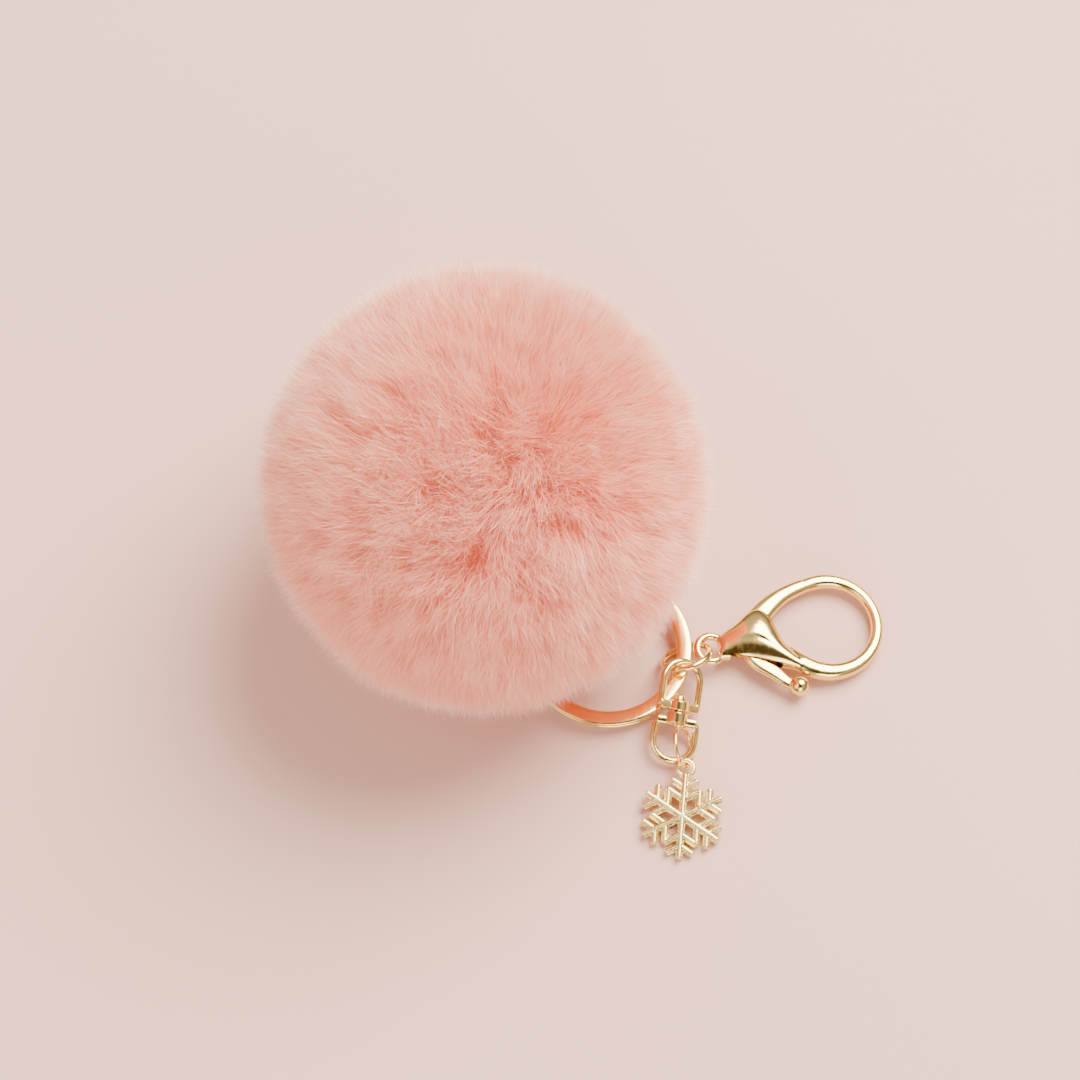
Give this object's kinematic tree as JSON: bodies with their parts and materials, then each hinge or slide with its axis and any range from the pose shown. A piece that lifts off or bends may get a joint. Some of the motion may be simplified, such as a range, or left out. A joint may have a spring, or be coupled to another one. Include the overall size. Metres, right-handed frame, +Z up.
{
  "type": "plush keychain",
  "caption": "Round fluffy fur pompom corded to a flat split ring that carries a lobster clasp and a small snowflake charm on a swivel, for clipping to a bag or holding keys.",
  "frame": {"origin": "on the surface that the keychain lies on, at the middle of the flat patch that the pompom's weight presses in its fur", "axes": "+Z is up, +X runs from the pompom along the lobster clasp, and +Y points away from the snowflake charm"},
  "size_m": [0.1111, 0.0963, 0.0748],
  "materials": {
    "coral_fur": "long faux fur pile",
    "knit_backing": "matt knitted backing",
    "fibre_filling": "matt fibre filling",
    "gathering_thread": "matt twisted thread",
    "elastic_cord": "matt braided cord",
    "gold_plating": "polished light gold plating",
    "pale_gold_plating": "satin pale gold plating",
    "spring_steel": "bright drawn wire"
  },
  "bodies": {
    "pompom": {"fur_pile": "coral_fur", "fur_backing": "knit_backing", "stuffing_ball": "fibre_filling", "gather_thread": "gathering_thread", "hanging_cord": "elastic_cord", "cord_knot": "elastic_cord"},
    "key_ring": {"split_ring": "gold_plating"},
    "link": {"link_ring": "gold_plating"},
    "clasp": {"clasp_body": "gold_plating", "trigger_pin": "gold_plating", "trigger_spring": "spring_steel"},
    "trigger": {"clasp_trigger": "gold_plating"},
    "swivel_top": {"swivel_upper_loop": "gold_plating"},
    "swivel_foot": {"swivel_lower_loop": "gold_plating", "swivel_rivet": "gold_plating"},
    "charm_link": {"charm_jump_ring": "gold_plating"},
    "charm": {"snowflake_charm": "pale_gold_plating"}
  },
  "joints": [
    {"name": "ring_swing", "type": "hinge", "parent": "pompom", "child": "key_ring", "pos_m": [0.01112, -0.00863, 0.00295], "axis": [-0.6132, -0.7899, 0], "range_deg": [-40, 0]},
    {"name": "link_slide", "type": "hinge", "parent": "key_ring", "child": "link", "pos_m": [0.0219, -0.017, 0.00295], "axis": [0, 0, 1], "range_deg": [-60, 50]},
    {"name": "clasp_swing", "type": "hinge", "parent": "link", "child": "clasp", "pos_m": [0.03985, -0.01713, 0.00368], "axis": [-0.2798, 0.6672, -0.6904], "range_deg": [-30, 30]},
    {"name": "trigger_turn", "type": "hinge", "parent": "clasp", "child": "trigger", "pos_m": [0.04649, -0.0157, 0.00336], "axis": [0.0628, 0, 0.998], "range_deg": [-25, 0], "stiffness_Nm_per_rad": 0.002, "springref_deg": 5},
    {"name": "swivel_swing", "type": "hinge", "parent": "link", "child": "swivel_top", "pos_m": [0.0355, -0.02066, 0.0059], "axis": [0.8894, -0.0228, -0.4566], "range_deg": [-50, 0]},
    {"name": "swivel_spin", "type": "hinge", "parent": "swivel_top", "child": "swivel_foot", "pos_m": [0.0355, -0.02066, 0.0059], "axis": [-0.1442, -0.9617, -0.2329], "continuous": true},
    {"name": "charm_ring_swing", "type": "hinge", "parent": "swivel_foot", "child": "charm_link", "pos_m": [0.0351, -0.0362, 0.00375], "axis": [0.9023, 0, 0.4311], "range_deg": [-95, 8]},
    {"name": "charm_swing", "type": "hinge", "parent": "charm_link", "child": "charm", "pos_m": [0.03554, -0.03965, 0.00283], "axis": [0.4133, 0.2845, -0.865], "range_deg": [-75, 50]}
  ]
}
